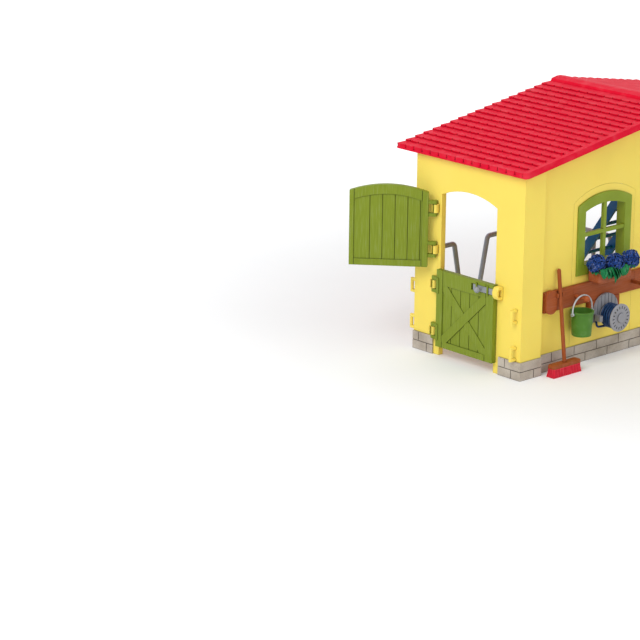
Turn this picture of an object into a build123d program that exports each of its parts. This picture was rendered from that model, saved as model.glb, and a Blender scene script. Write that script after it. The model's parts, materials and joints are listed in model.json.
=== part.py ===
from build123d import *
from math import atan2, cos, degrees, pi, radians, sin, sqrt, tan
import os

# Toy barn at about one twentieth of real size, all sizes in millimetres.
# X runs along the front wall, Y from the front into the barn, Z up. The origin is on the
# floor, at the front left corner of the walls.

# Walls
POST = 22.0              # width of each pilaster on the front
BAY = 140.0              # recessed wall between two pilasters
DEPTH = 113.6            # front face to the open back edge of a side wall
SIDE_T = 4.5             # thickness of a side wall
FRONT_T = 3.5            # thickness of the front wall in a bay
RECESS = 4.0             # bay wall behind the pilaster face
EAVE = 157.0             # underside of the roof at the outer face of a side wall
PITCH = 9.1              # roof slope in degrees

# Brick plinth
PLINTH = 14.0
PLINTH_PROUD = 1.2
BRICK = 25.2
BRICK_START = 15.1       # pilaster edge to the first joint of the upper course
JOINT_W = 0.6
JOINT_DEEP = 0.5
JAMB_FOOT = 6.0          # wall left and right of the doorway that reaches the floor

# Doorway in a side wall
DOOR_NEAR = 28.0
DOOR_W = 58.0
DOOR_SPRING = 127.2
DOOR_RISE = 6.3

# Stable door leaves, hung on the outer face of a side wall
LEAF_T = 4.0
LEAF_W = 60.1
LEAF_GAP = 0.4           # closed leaf to the wall
LEAF_EDGE = 5.1          # hinge axis to the edge of the leaf
HINGE_OUT = 4.6          # far edge of the doorway to the hinge axis
LOWER_FOOT = 8.4
LOWER_TOP = 69.4
UPPER_GAP = 0.5          # between the two leaves
UPPER_SPRING = 128.2
UPPER_RISE = 5.4
UPPER_OPEN = 138.0       # how far the upper left leaf stands open at rest
STILE_FREE = 3.6         # upper leaf
STILE_HINGE = 4.8
STILE_BOLT = 8.0         # lower leaf
STILE_HUNG = 6.6
RAIL_LOW = 5.0
RAIL_ARCH = 6.6          # spring of the leaf to the spring of its field
FIELD_RISE = 4.6
RAIL_LOCK = 11.4         # tall top rail of a lower leaf
PLANK = 9.6
PLANK_SINK = 0.8
GROOVE_W = 0.5
GROOVE_DEEP = 0.5
BRACE_W = 6.8

# Hinges: a bar on the leaf snaps into an open hook on the wall
BAR_R = 1.4
BAR_PLAY = 0.06
HOOK_WALL = 1.3
HOOK_MOUTH = 2.2
LOOP_H = 12.4            # height of a leaf's hinge loop
PRONG_H = 2.6
PRONG_PLAY = 0.4
PRONG_R = 1.6
LOWER_LOOPS = (19.7, 56.7)
UPPER_LOOPS = (83.7, 115.8)

# Slide bolt of a lower leaf and its keeper on the wall
BOLT_Z = 64.0
BOLT_H = 4.6
BOLT_T = 2.2
BOLT_PLAY = 0.25
BOLT_REACH = 21.0        # length of the bar
BOLT_BACK = 1.8          # travel towards the hinge
BOLT_SHY = 0.3           # bar's end inside the leaf's edge at rest
KNOB_R = 2.4
KNOB_NECK = 1.0
KNOB_OUT = 3.9           # leaf's face to the middle of the knob
KNOB_AT = 13.4           # leaf's free edge to the knob
STRAP_W = 1.3
STRAP_T = 0.7
STRAP_NEAR = 5.2         # leaf's free edge to the two straps
STRAP_FAR = 16.6
HINGE_PAD_W = 2.4
HINGE_PAD_T = 0.5
KEEPER_GAP = 0.7         # leaf's free edge to the keeper
KEEPER_W = 5.1
KEEPER_OUT = 6.6
KEEPER_H = 9.6
KEEPER_PLAY = 0.45

# Loops on the walls for a fence to clip to
LOOP_BAR_R = 1.3
LOOP_OUT = 5.0
LOOP_ARM = 2.0
LOOP_TALL = 11.0
LOOP_HEIGHTS = (20.2, 49.2)
LOOP_IN = 5.6            # front face to the loop near the corner

# Arched panel in a bay, with a window
PANEL_W = 68.6
PANEL_SPRING = 126.2
PANEL_RISE = 9.8
PANEL_PLAY = 0.15
WINDOW_W = 59.8
WINDOW_FOOT = 68.8
WINDOW_SPRING = 123.0
WINDOW_RISE = 7.6
WINDOW_BORDER = 7.8
WINDOW_PROUD = 1.3
WINDOW_LIP = 2.8         # border that covers the wall
WINDOW_DEEP = 11.0       # front face of the pilasters to the back of the liner
BAR_W = 3.1              # glazing bars
BAR_T = 2.8
BAR_SET = 0.4
TRANSOM_Z = 100.0
TRANSOM_H = 2.9

# Wall rail with pegs
RAIL_BOTTOM = 47.1
RAIL_TOP = 62.8
RAIL_T = 2.8
RAIL_END = 4.0           # pilaster to the end of the rail
BLOCK_W = 12.0
BLOCK_PROUD = 1.8
BLOCK_OVER = 1.2
PEG_OFF = 32.0           # bay centre to a peg
PEG_Z = 54.6
PEG_R = 1.5
PEG_REACH = 11.2
PEG_BALL = 2.6
HOLDER_H = 3.0           # clip that holds the broom handle
HOLDER_PLAY = 0.6

# Hose reel under the window
REEL_Z = 35.2
BRACKET_W = 34.0
BRACKET_FOOT = 34.0
BRACKET_PROUD = 1.0
PLATE_R = 13.6
PLATE_Z = 37.9           # centre of the plate's arched top
PLATE_FOOT = 30.6
PLATE_FLARE = 2.0        # the plate is that much wider at its foot, each side
PLATE_T = 2.0
BOARD = 3.9              # upright boards marked on the plate
BOARD_CUT = 0.5
AXLE_R = 2.2
AXLE_PLAY = 0.06
DRUM_R = 7.7
DRUM_LONG = 12.8
DRUM_GAP = 0.35
DISC_R = 10.9
DISC_T = 1.6
SLOTS = 18
SLOT_W = 0.9
SLOT_DEEP = 0.6
CAP_R = 3.6
CAP_T = 1.1
HOSE_R = 0.9
HOSE_PITCH = 2.35
HOSE_TURNS = 4.5         # ends below the drum, heading left
HOSE_PLAY = 0.05
TAIL_RUN = 2.4           # straight run out from under the drum
FITTING_OFF = 12.6          # drum axis to the fitting on the hose's end
FITTING_W = 3.4
FITTING_H = 4.4
FITTING_LONG = 6.4
FITTING_DROP = 0.4          # middle of the fitting below the drum axis

# Flower box on the rail
BOX_W = 37.0
BOX_D = 13.0
BOX_H = 11.5
BOX_WALL = 1.2
BOX_ROUND = 2.5
BOX_BELLY = 2.6          # rounding under the box
BLOOM_R = 5.4
BLOOM_LONG = 0.8         # half its straight part
FLORET_R = 1.35
FLORETS = 44
BLOOM_GAP = 0.3          # head to the box and the leaves
STEM_R = 1.5
BLOOMS = ((-17.6, -5.6, 79.0), (0.4, -7.4, 77.2), (18.8, -7.2, 76.8))
LEAVES = ((-8.7, -6.2, 64.2, 3.6), (9.6, 3.4, 68.4, 3.2))   # stalk, tip and its height, half width
LEAF_THIN = 0.8
STALK_W = 1.6
SOIL_PLAY = 0.1

# Bucket and its bail
BUCKET_OUT = 10.0        # bay wall to the bucket's axis
BUCKET_RIM_R = 9.0
BUCKET_FOOT_R = 7.4
BUCKET_H = 19.2
BUCKET_WALL = 0.8
EAR_DOWN = 1.6
EAR_R = 1.4
EAR_T = 0.7
BAIL_R = 0.6
BAIL_OUT = 0.4           # ear to the bail's leg
BAIL_RISE = 13.5
BAIL_PLAY = 0.05

# Broom
BROOM_X = 38.2           # middle of the head
BROOM_LIFT = 14.0
HANDLE_R = 1.5
HANDLE_FOOT_Y = -9.5
HANDLE_TOP_X = 40.7
HANDLE_TOP_Y = 1.5
HANDLE_TOP_Z = 78.0
HEAD_W = 30.6
HEAD_D = 7.6
HEAD_FOOT = 7.0
HEAD_TOP = 9.7
BACKING = 1.0
BRISTLE_COLUMNS = 30
BRISTLE_ROWS = 12
BRISTLE_SHARE = 0.62     # strand width as a share of its spacing
SPLAY_X = 0.08           # how far a strand leans out, as a share of its place
SPLAY_Y = 0.22

# Stall fence, divider and ladder inside
TUBE_R = 1.95
TUBE_BEND = 4.5
FENCE_Y = 108.0
FENCE_TOP = 77.8
FENCE_POST = 0.3         # side wall to the first post
FENCE_END = 168.0
NECK_TOP = 37.0          # width of a head gap at the top
NECK_FOOT = 7.0
NECK_AT = (55.0, 119.0)
SILL_H = 3.0
SILL_W = 4.8
DIVIDER_X = 167.0
DIVIDER_TOP = 71.0
DIVIDER_NEAR = 62.5
DIVIDER_GAP = 0.3        # divider's rail to the feed fence
DIVIDER_MID = 80.0
DIVIDER_R = 1.75
LADDER_X = 122.6
LADDER_W = 34.0
LADDER_FOOT = 96.8       # how far back the ladder stands
LADDER_TOP = 131.5
STILE_T = 2.4
STILE_D = 7.4
RUNG_R = 1.4
RUNG_STEP = 16.0
LADDER_LEAN = 0.2        # top of the ladder to the wall

# Roof
ROOF_OUT = 5.6           # eave beyond a side wall
GABLE_OUT = 6.4          # roof beyond the front
BACK_OUT = 16.4          # roof beyond the open back
ROOF_T = 2.9
TILE_STEP = 1.4
TILE_LOW = 0.15
COURSE = 9.5
TILE_W = 8.8
NOSE_R = 1.9              # rounding of a tile's front corners
EAVE_CUT = 1.6            # how far the eave's gaps go down into the panel
BARGE_W = 4.0
BARGE_H = 1.9
ROOF_CORNER = 3.2
CAP_LEG = 9.0
CAP_THICK = 2.0

WIDTH = 3 * POST + 2 * BAY
MID = WIDTH / 2
BAY_X = POST + BAY / 2
WALL_BACK = RECESS + FRONT_T
SLOPE = tan(radians(PITCH))
DOOR_FAR = DOOR_NEAR + DOOR_W
DOOR_Y = DOOR_NEAR + DOOR_W / 2
HINGE_X = -LEAF_GAP - LEAF_T / 2
HINGE_Y = DOOR_FAR + HINGE_OUT
LEAF_HINGE_SIDE = HINGE_Y - LEAF_EDGE
LEAF_FREE_SIDE = LEAF_HINGE_SIDE - LEAF_W
LEAF_FACE = HINGE_X - LEAF_T / 2
LEAF_BACK = HINGE_X + LEAF_T / 2
RAIL_FACE = RECESS - RAIL_T
PLATE_BACK = RAIL_FACE - BRACKET_PROUD
PLATE_FACE = PLATE_BACK - PLATE_T
DRUM_BACK = PLATE_FACE - DRUM_GAP
DRUM_FRONT = DRUM_BACK - DRUM_LONG
DISC_FACE = DRUM_FRONT - DISC_T
PEG_X = BAY_X - PEG_OFF
BUCKET_Y = RECESS - BUCKET_OUT
EAR_Z = PEG_Z + PEG_R + BAIL_PLAY + BAIL_R - BAIL_RISE
BUCKET_RIM = EAR_Z + EAR_DOWN
MIDDLE = Plane.YZ.offset(MID)
HINGE = Axis((HINGE_X, HINGE_Y, 0), (0, 0, 1))

os.makedirs("parts", exist_ok=True)


def keep(builder, name):
    """Label a finished piece and write it."""
    builder.part.label = name
    export_step(builder.part, f"parts/{name}.step")


def keep_pair(builder, stem):
    """Write a left-hand piece and its mirror image in the right half."""
    keep(builder, f"{stem}_left")
    with BuildPart() as twin:
        mirror(builder.part, about=MIDDLE)
    keep(twin, f"{stem}_right")


def roof_under(x):
    """Height of the roof's underside in the left half."""
    return EAVE + x * SLOPE


def front_plane(y):
    """Plane across the front at depth y; extruding comes towards the viewer."""
    return Plane.XZ.offset(-y)


def side_plane(x):
    """Plane parallel to a side wall at x; extruding goes towards +X."""
    return Plane.YZ.offset(x)


def arch(centre, width, foot, spring, rise):
    """Face with straight sides up to the spring and one arc above."""
    left = centre - width / 2
    right = centre + width / 2
    with BuildSketch() as shape:
        with BuildLine():
            Polyline((left, spring), (left, foot), (right, foot), (right, spring))
            ThreePointArc((right, spring), (centre, spring + rise), (left, spring))
        make_face()
    return shape.sketch


def outline(*points):
    """Face inside a closed run of points."""
    with BuildSketch() as shape:
        with BuildLine():
            Polyline(*points, close=True)
        make_face()
    return shape.sketch


def slab(x0, x1, y0, y1, z0, z1):
    """Plain block between two corners."""
    with BuildPart(Plane.XY.offset(z0)) as block:
        with Locations(((x0 + x1) / 2, (y0 + y1) / 2)):
            Box(x1 - x0, y1 - y0, z1 - z0, align=(Align.CENTER, Align.CENTER, Align.MIN))
    return block.part


def rod(start, end, radius):
    """Round bar between two points."""
    run = Vector(*end) - Vector(*start)
    with BuildPart(Plane(origin=start, z_dir=run)) as bar:
        Cylinder(radius, run.length, align=(Align.CENTER, Align.CENTER, Align.MIN))
    return bar.part


def tube(plane, radius, bend, *points):
    """Bent round tube that follows points in a plane."""
    with BuildPart() as pipe:
        with BuildLine(plane) as run:
            FilletPolyline(*points, radius=bend)
        with BuildSketch(Plane(origin=run.line @ 0, z_dir=run.line % 0)):
            Circle(radius)
        sweep(path=run.line)
    return pipe.part


def wall_loop(root, way, z_mid):
    """Upright bar on two arms, for a fence clip; root is on the wall and way points off it."""
    tip = (root[0] + way[0] * LOOP_OUT, root[1] + way[1] * LOOP_OUT)
    centre = ((root[0] + tip[0]) / 2 - way[0] * SIDE_T / 8, (root[1] + tip[1]) / 2 - way[1] * SIDE_T / 8)
    long = LOOP_OUT + SIDE_T / 4
    with BuildPart() as loop:
        for z in (z_mid - LOOP_TALL / 2, z_mid + LOOP_TALL / 2 - LOOP_ARM):
            with BuildSketch(Plane.XY.offset(z)):
                with Locations(centre):
                    Rectangle(long if way[0] else 2 * LOOP_BAR_R, long if way[1] else 2 * LOOP_BAR_R)
            extrude(amount=LOOP_ARM)
        with BuildSketch(Plane.XY.offset(z_mid - LOOP_TALL / 2)):
            with Locations(tip):
                Circle(LOOP_BAR_R)
        extrude(amount=LOOP_TALL)
    return loop.part


def hinge_hook(z_mid):
    """Open hook on the wall that holds a leaf's bar."""
    inner = BAR_R + BAR_PLAY
    outer = inner + HOOK_WALL
    height = LOOP_H - 2 * PRONG_H - 2 * PRONG_PLAY
    with BuildPart() as hook:
        with BuildSketch(Plane.XY.offset(z_mid - height / 2)):
            with Locations((HINGE_X, HINGE_Y)):
                Circle(outer)
            with Locations((-(-HINGE_X - inner) / 2 + SIDE_T / 8, HINGE_Y)):
                Rectangle(-HINGE_X - inner + SIDE_T / 4, 2 * inner)
            with Locations((HINGE_X, HINGE_Y)):
                Circle(inner, mode=Mode.SUBTRACT)
            with Locations((HINGE_X - outer, HINGE_Y)):
                Rectangle(2 * outer, HOOK_MOUTH, mode=Mode.SUBTRACT)
        extrude(amount=height)
    return hook.part


def bricks(start, end, first, lower_first):
    """Sketch of the joints on one plinth face, from start to end along the wall."""
    with BuildSketch() as joints:
        with Locations(((start + end) / 2, PLINTH / 2)):
            Rectangle(end - start, JOINT_W)
        for row, at in ((1, first), (0, lower_first)):
            while at < end - JOINT_W:
                with Locations((at, PLINTH / 4 + row * PLINTH / 2)):
                    Rectangle(JOINT_W, PLINTH / 2)
                at += BRICK
    return joints.sketch


# Side wall with its corner pilaster, doorway, hinge hooks and fence loops
with BuildPart() as side_wall:
    with BuildSketch(side_plane(0)):
        add(outline((0, PLINTH), (0, EAVE + SIDE_T * SLOPE), (DEPTH, EAVE + SIDE_T * SLOPE), (DEPTH, PLINTH)))
        add(arch(DOOR_Y, DOOR_W, 0, DOOR_SPRING, DOOR_RISE), mode=Mode.SUBTRACT)
        for edge in (DOOR_NEAR - JAMB_FOOT, DOOR_FAR):
            add(outline((edge, 0), (edge, PLINTH), (edge + JAMB_FOOT, PLINTH), (edge + JAMB_FOOT, 0)))
    extrude(amount=SIDE_T)
    with BuildSketch(front_plane(WALL_BACK)):
        add(outline((0, PLINTH), (0, EAVE + POST * SLOPE), (POST, EAVE + POST * SLOPE), (POST, PLINTH)))
    extrude(amount=WALL_BACK)
    with BuildSketch(front_plane(DEPTH)):
        add(outline(
            (0, EAVE),
            (POST, roof_under(POST)),
            (POST, roof_under(2 * POST)),
            (0, roof_under(2 * POST)),
        ))
    extrude(amount=DEPTH, mode=Mode.SUBTRACT)
    for height in LOWER_LOOPS + UPPER_LOOPS:
        add(hinge_hook(height))
    for height in LOOP_HEIGHTS:
        add(wall_loop((0, LOOP_IN), (-1, 0), height))
        add(wall_loop((SIDE_T / 2, DEPTH), (0, 1), height))
keep_pair(side_wall, "side_wall")

# Catch on the near jamb with a pocket for the bolt
KEEPER_FAR = LEAF_FREE_SIDE - KEEPER_GAP
KEEPER_NOSE = KEEPER_H / 4 - KEEPER_OUT
with BuildPart() as bolt_keeper:
    with BuildSketch(front_plane(KEEPER_FAR)):
        with BuildLine():
            Polyline(
                (KEEPER_NOSE, BOLT_Z - KEEPER_H / 2),
                (0, BOLT_Z - KEEPER_H / 2),
                (0, BOLT_Z + KEEPER_H / 2),
                (KEEPER_NOSE, BOLT_Z + KEEPER_H / 2),
            )
            ThreePointArc(
                (KEEPER_NOSE, BOLT_Z + KEEPER_H / 2),
                (-KEEPER_OUT, BOLT_Z),
                (KEEPER_NOSE, BOLT_Z - KEEPER_H / 2),
            )
        make_face()
        with Locations((LEAF_FACE + BOLT_T / 2, BOLT_Z)):
            Rectangle(BOLT_T + 2 * KEEPER_PLAY, BOLT_H + 2 * KEEPER_PLAY, mode=Mode.SUBTRACT)
    extrude(amount=KEEPER_W)
keep_pair(bolt_keeper, "bolt_keeper")

# Pilaster between the two bays, under the ridge
with BuildPart() as centre_post:
    with BuildSketch(front_plane(WALL_BACK)):
        add(outline(
            (MID - POST / 2, PLINTH),
            (MID - POST / 2, roof_under(MID - POST / 2)),
            (MID, roof_under(MID)),
            (MID + POST / 2, roof_under(MID - POST / 2)),
            (MID + POST / 2, PLINTH),
        ))
    extrude(amount=WALL_BACK)
keep(centre_post, "centre_post")

# Front wall of one bay, open for the arched panel
with BuildPart() as front_wall:
    with BuildSketch(front_plane(WALL_BACK)):
        add(outline(
            (POST, PLINTH),
            (POST, roof_under(POST)),
            (POST + BAY, roof_under(POST + BAY)),
            (POST + BAY, PLINTH),
        ))
        add(arch(BAY_X, PANEL_W + 2 * PANEL_PLAY, 0, PANEL_SPRING, PANEL_RISE + PANEL_PLAY),
            mode=Mode.SUBTRACT)
    extrude(amount=FRONT_T)
keep_pair(front_wall, "front_wall")

# Arched panel that fills the opening and holds the window
LINER_W = WINDOW_W - 2 * WINDOW_LIP
LINER_FOOT = WINDOW_FOOT + WINDOW_LIP
LINER_RISE = WINDOW_RISE - WINDOW_LIP / 4
with BuildPart() as arch_panel:
    with BuildSketch(front_plane(WALL_BACK)):
        add(arch(BAY_X, PANEL_W, PLINTH, PANEL_SPRING, PANEL_RISE))
        add(arch(BAY_X, LINER_W + 2 * PANEL_PLAY, LINER_FOOT - PANEL_PLAY, WINDOW_SPRING - WINDOW_LIP / 2,
                 LINER_RISE + PANEL_PLAY), mode=Mode.SUBTRACT)
    extrude(amount=FRONT_T)
keep_pair(arch_panel, "arch_panel")

# Window frame with a deep liner and a cross of glazing bars
PANE_W = WINDOW_W - 2 * WINDOW_BORDER
PANE_FOOT = WINDOW_FOOT + WINDOW_BORDER
PANE_SPRING = WINDOW_SPRING - WINDOW_BORDER * 0.62
PANE_RISE = WINDOW_RISE * (PANE_W / WINDOW_W) ** 2
PANE_TOP = PANE_SPRING + PANE_RISE
WINDOW_FACE = RECESS - WINDOW_PROUD
with BuildPart() as window_frame:
    with BuildSketch(front_plane(RECESS)):
        add(arch(BAY_X, WINDOW_W, WINDOW_FOOT, WINDOW_SPRING, WINDOW_RISE))
    extrude(amount=WINDOW_PROUD)
    chamfer(window_frame.faces().sort_by(Axis.Y)[0].edges(), WINDOW_PROUD * 0.3)
    with BuildSketch(front_plane(WINDOW_DEEP)):
        add(arch(BAY_X, LINER_W, LINER_FOOT, WINDOW_SPRING - WINDOW_LIP / 2, LINER_RISE))
    extrude(amount=WINDOW_DEEP - RECESS)
    with BuildSketch(front_plane(WINDOW_DEEP)):
        add(arch(BAY_X, PANE_W, PANE_FOOT, PANE_SPRING, PANE_RISE))
    extrude(amount=WINDOW_DEEP - WINDOW_FACE, mode=Mode.SUBTRACT)
    add(slab(BAY_X - BAR_W / 2, BAY_X + BAR_W / 2, WINDOW_FACE + BAR_SET, WINDOW_FACE + BAR_SET + BAR_T,
             PANE_FOOT - BAR_SET, PANE_TOP + BAR_SET))
    add(slab(BAY_X - PANE_W / 2 - BAR_SET, BAY_X + PANE_W / 2 + BAR_SET, WINDOW_FACE + BAR_SET,
             WINDOW_FACE + BAR_SET + BAR_T, TRANSOM_Z - TRANSOM_H / 2, TRANSOM_Z + TRANSOM_H / 2))
keep_pair(window_frame, "window_frame")

# Brick plinth: an L at each corner, a piece behind each doorway, one under each bay, one in the middle
with BuildPart() as plinth_corner:
    add(slab(-PLINTH_PROUD, POST, -PLINTH_PROUD, WALL_BACK, 0, PLINTH))
    add(slab(-PLINTH_PROUD, SIDE_T, -PLINTH_PROUD, DOOR_NEAR - JAMB_FOOT, 0, PLINTH))
    with BuildSketch(front_plane(JOINT_DEEP - PLINTH_PROUD)):
        add(bricks(-PLINTH_PROUD, POST, POST, POST - BRICK / 3))
    extrude(amount=JOINT_DEEP, mode=Mode.SUBTRACT)
    with BuildSketch(side_plane(-PLINTH_PROUD)):
        add(bricks(-PLINTH_PROUD, DOOR_NEAR - JAMB_FOOT, BRICK * 0.6, BRICK / 3))
    extrude(amount=JOINT_DEEP, mode=Mode.SUBTRACT)
keep_pair(plinth_corner, "plinth_corner")

with BuildPart() as plinth_side:
    add(slab(-PLINTH_PROUD, SIDE_T, DOOR_FAR + JAMB_FOOT, DEPTH, 0, PLINTH))
    with BuildSketch(side_plane(-PLINTH_PROUD)):
        jamb = DOOR_FAR + JAMB_FOOT
        add(bricks(jamb, DEPTH, jamb + BRICK * 0.6, jamb + BRICK / 4))
    extrude(amount=JOINT_DEEP, mode=Mode.SUBTRACT)
keep_pair(plinth_side, "plinth_side")

with BuildPart() as plinth_front:
    add(slab(POST, POST + BAY, RECESS - PLINTH_PROUD, WALL_BACK, 0, PLINTH))
    with BuildSketch(front_plane(RECESS - PLINTH_PROUD + JOINT_DEEP)):
        add(bricks(POST, POST + BAY, POST + BRICK_START, POST + BRICK_START - BRICK / 2))
    extrude(amount=JOINT_DEEP, mode=Mode.SUBTRACT)
keep_pair(plinth_front, "plinth_front")

with BuildPart() as plinth_centre:
    add(slab(MID - POST / 2, MID + POST / 2, -PLINTH_PROUD, WALL_BACK, 0, PLINTH))
    with BuildSketch(front_plane(JOINT_DEEP - PLINTH_PROUD)):
        add(bricks(MID - POST / 2, MID + POST / 2, MID + POST, MID + POST / 6))
    extrude(amount=JOINT_DEEP, mode=Mode.SUBTRACT)
keep(plinth_centre, "plinth_centre")

# Roof panel: saw-toothed courses of round-nosed tiles and a smooth verge over the front
ROOF_ORIGIN = Vector(-ROOF_OUT, DEPTH + BACK_OUT, roof_under(-ROOF_OUT))
ALONG = Vector(cos(radians(PITCH)), 0, sin(radians(PITCH)))
UP = Vector(-sin(radians(PITCH)), 0, cos(radians(PITCH)))
ROOF_LONG = (MID + ROOF_OUT) / cos(radians(PITCH))
ROOF_DEEP = DEPTH + BACK_OUT + GABLE_OUT
COURSES = int((ROOF_LONG - CAP_LEG) / COURSE)
SECTION = Plane(origin=ROOF_ORIGIN, x_dir=ALONG, z_dir=(0, -1, 0))
TILED = Plane(origin=ROOF_ORIGIN + UP * (ROOF_T + TILE_LOW), x_dir=ALONG, z_dir=UP)
with BuildSketch() as tile_gap:
    with BuildLine():
        Polyline((0, NOSE_R), (-TILE_STEP, NOSE_R), (-TILE_STEP, -NOSE_R), (0, -NOSE_R))
        ThreePointArc((0, -NOSE_R), (NOSE_R * (1 - sqrt(0.5)), NOSE_R * (sqrt(0.5) - 1)), (NOSE_R, 0))
        ThreePointArc((NOSE_R, 0), (NOSE_R * (1 - sqrt(0.5)), NOSE_R * (1 - sqrt(0.5))), (0, NOSE_R))
    make_face()
TILE_GAP = tile_gap.sketch
with BuildPart() as roof_panel:
    with BuildSketch(SECTION):
        with BuildLine():
            tooth = [(0, 0)]
            for course in range(COURSES):
                tooth.append((course * COURSE, ROOF_T + TILE_STEP))
                tooth.append(((course + 1) * COURSE, ROOF_T + TILE_LOW))
            tooth.append((COURSES * COURSE, ROOF_T))
            tooth.append((ROOF_LONG, ROOF_T))
            tooth.append((ROOF_LONG, 0))
            Polyline(*tooth, close=True)
        make_face()
    extrude(amount=ROOF_DEEP)
    with BuildSketch(TILED):
        for course in range(COURSES):
            shift = TILE_W / 2 * (course % 2)
            joints = int((ROOF_DEEP - BARGE_W - shift) / TILE_W) + 1
            spots = [(course * COURSE, BARGE_W + shift + n * TILE_W - ROOF_DEEP) for n in range(joints)]
            with Locations(*spots):
                add(TILE_GAP)
    extrude(amount=TILE_STEP, mode=Mode.SUBTRACT)
    with BuildSketch(Plane(origin=ROOF_ORIGIN + UP * (ROOF_T + TILE_LOW - EAVE_CUT), x_dir=ALONG, z_dir=UP)):
        joints = int((ROOF_DEEP - BARGE_W) / TILE_W) + 1
        with Locations(*[(0, BARGE_W + n * TILE_W - ROOF_DEEP) for n in range(joints)]):
            add(TILE_GAP)
    extrude(amount=EAVE_CUT, mode=Mode.SUBTRACT)
    verge = Plane(origin=ROOF_ORIGIN - Vector(0, ROOF_DEEP - BARGE_W, 0), x_dir=ALONG, z_dir=(0, -1, 0))
    with BuildSketch(verge):
        with Locations((ROOF_LONG / 2, (ROOF_T + BARGE_H) / 2)):
            Rectangle(ROOF_LONG, ROOF_T + BARGE_H)
    extrude(amount=BARGE_W)
    upright = roof_panel.edges().filter_by(lambda e: abs(e.tangent_at(0).dot(UP)) > 0.99)
    front = upright.filter_by(lambda e: e.center().Y < BARGE_W / 4 - GABLE_OUT)
    fillet(front.sort_by(Axis.X)[0], ROOF_CORNER)
keep_pair(roof_panel, "roof_panel")

# Ridge capping over the joint of the two panels
RIDGE = roof_under(MID) + ROOF_T / cos(radians(PITCH))
LEG_DROP = CAP_LEG * SLOPE
with BuildPart() as ridge_cap:
    with BuildSketch(front_plane(DEPTH + BACK_OUT)):
        add(outline(
            (MID - CAP_LEG, RIDGE - LEG_DROP),
            (MID - CAP_LEG + CAP_THICK / 2, RIDGE - LEG_DROP + CAP_THICK),
            (MID - CAP_THICK, RIDGE + CAP_THICK * 0.9),
            (MID + CAP_THICK, RIDGE + CAP_THICK * 0.9),
            (MID + CAP_LEG - CAP_THICK / 2, RIDGE - LEG_DROP + CAP_THICK),
            (MID + CAP_LEG, RIDGE - LEG_DROP),
            (MID, RIDGE),
        ))
    extrude(amount=ROOF_DEEP - BARGE_W)
keep(ridge_cap, "ridge_cap")

# Wall rail: two ends with rounded blocks, and a middle piece on the arched panel
RAIL_START = POST + RAIL_END
SPLIT = BAY_X - PANEL_W / 2


def rail_end():
    """Left end of a wall rail, with its block and the broom's clip."""
    block_x = RAIL_START + BLOCK_W / 2
    block_z = (RAIL_BOTTOM + RAIL_TOP) / 2
    with BuildPart() as board:
        add(slab(RAIL_START, SPLIT - PANEL_PLAY, RAIL_FACE, RECESS, RAIL_BOTTOM, RAIL_TOP))
        with BuildSketch(front_plane(RAIL_FACE + RAIL_T / 2)):
            with Locations((block_x, block_z)):
                RectangleRounded(BLOCK_W, RAIL_TOP - RAIL_BOTTOM + 2 * BLOCK_OVER, BLOCK_W * 0.45)
        extrude(amount=RAIL_T / 2 + BLOCK_PROUD)
        add(broom_clip())
    return board


def handle_y(z):
    """Depth of the broom handle's axis at a height."""
    return HANDLE_FOOT_Y + (HANDLE_TOP_Y - HANDLE_FOOT_Y) * (z - HEAD_TOP) / (HANDLE_TOP_Z - HEAD_TOP)


def handle_x(z):
    """Place along the wall of the broom handle's axis at a height."""
    return BROOM_X + (HANDLE_TOP_X - BROOM_X) * (z - HEAD_TOP) / (HANDLE_TOP_Z - HEAD_TOP)


def broom_clip():
    """Two short arms on the rail, one each side of the broom handle."""
    z = RAIL_TOP - HOLDER_H
    reach = handle_y(z) - HANDLE_R * 0.6
    with BuildPart() as clip:
        for side in (-1, 1):
            inner = handle_x(z - BROOM_LIFT / 2) + side * (HANDLE_R + HOLDER_PLAY)
            outer = inner + side * HOLDER_H / 2
            add(slab(min(inner, outer), max(inner, outer), reach, RAIL_FACE + RAIL_T / 4, z - HOLDER_H / 2,
                     z + HOLDER_H / 2))
    return clip.part


def mirrored_in_bay(part):
    """The same shape turned over about the middle of the left bay."""
    with BuildPart() as other:
        mirror(part, about=side_plane(BAY_X))
    return other


rail_left_end = rail_end()
keep_pair(rail_left_end, "rail_outer_end")
rail_right_end = mirrored_in_bay(rail_left_end.part)
keep_pair(rail_right_end, "rail_inner_end")

with BuildPart() as rail_middle:
    add(slab(SPLIT, SPLIT + PANEL_W, RAIL_FACE, RECESS, RAIL_BOTTOM, RAIL_TOP))
    add(slab(BAY_X - BRACKET_W / 2, BAY_X + BRACKET_W / 2, PLATE_BACK, RECESS, BRACKET_FOOT, RAIL_BOTTOM))
    for x in (BAY_X - PEG_OFF, BAY_X + PEG_OFF):
        add(rod((x, RAIL_FACE + RAIL_T / 2, PEG_Z), (x, RAIL_FACE - PEG_REACH, PEG_Z), PEG_R))
        with Locations((x, RAIL_FACE - PEG_REACH, PEG_Z)):
            Sphere(PEG_BALL)
keep_pair(rail_middle, "rail_middle")

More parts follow.
